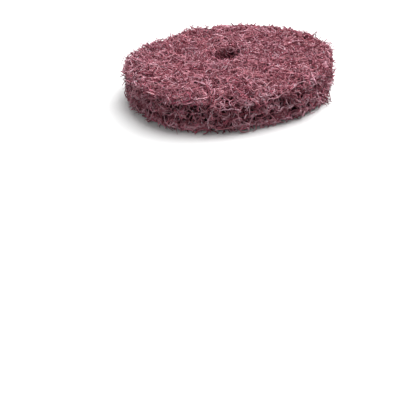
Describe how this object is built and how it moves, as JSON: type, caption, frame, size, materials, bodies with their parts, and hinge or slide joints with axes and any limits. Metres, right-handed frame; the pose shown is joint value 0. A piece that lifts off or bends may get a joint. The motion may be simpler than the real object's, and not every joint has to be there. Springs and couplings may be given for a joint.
{
  "type": "non-woven abrasive wheel",
  "caption": "Flat round wheel of springy abrasive fibre web with rounded edges, ply lines round its side and a plain arbor hole.",
  "frame": {"origin": "on the arbor hole's axis, at the level of the underside", "axes": "+Z along the hole's axis, from the underside to the top; the disc is round, so +X and +Y lie anywhere in its plane"},
  "size_m": [0.0757, 0.0753, 0.013],
  "materials": {
    "fibre_web": "rough open web of stiff fibres, maroon"
  },
  "bodies": {
    "root": {"abrasive_disc": "fibre_web"}
  },
  "joints": []
}
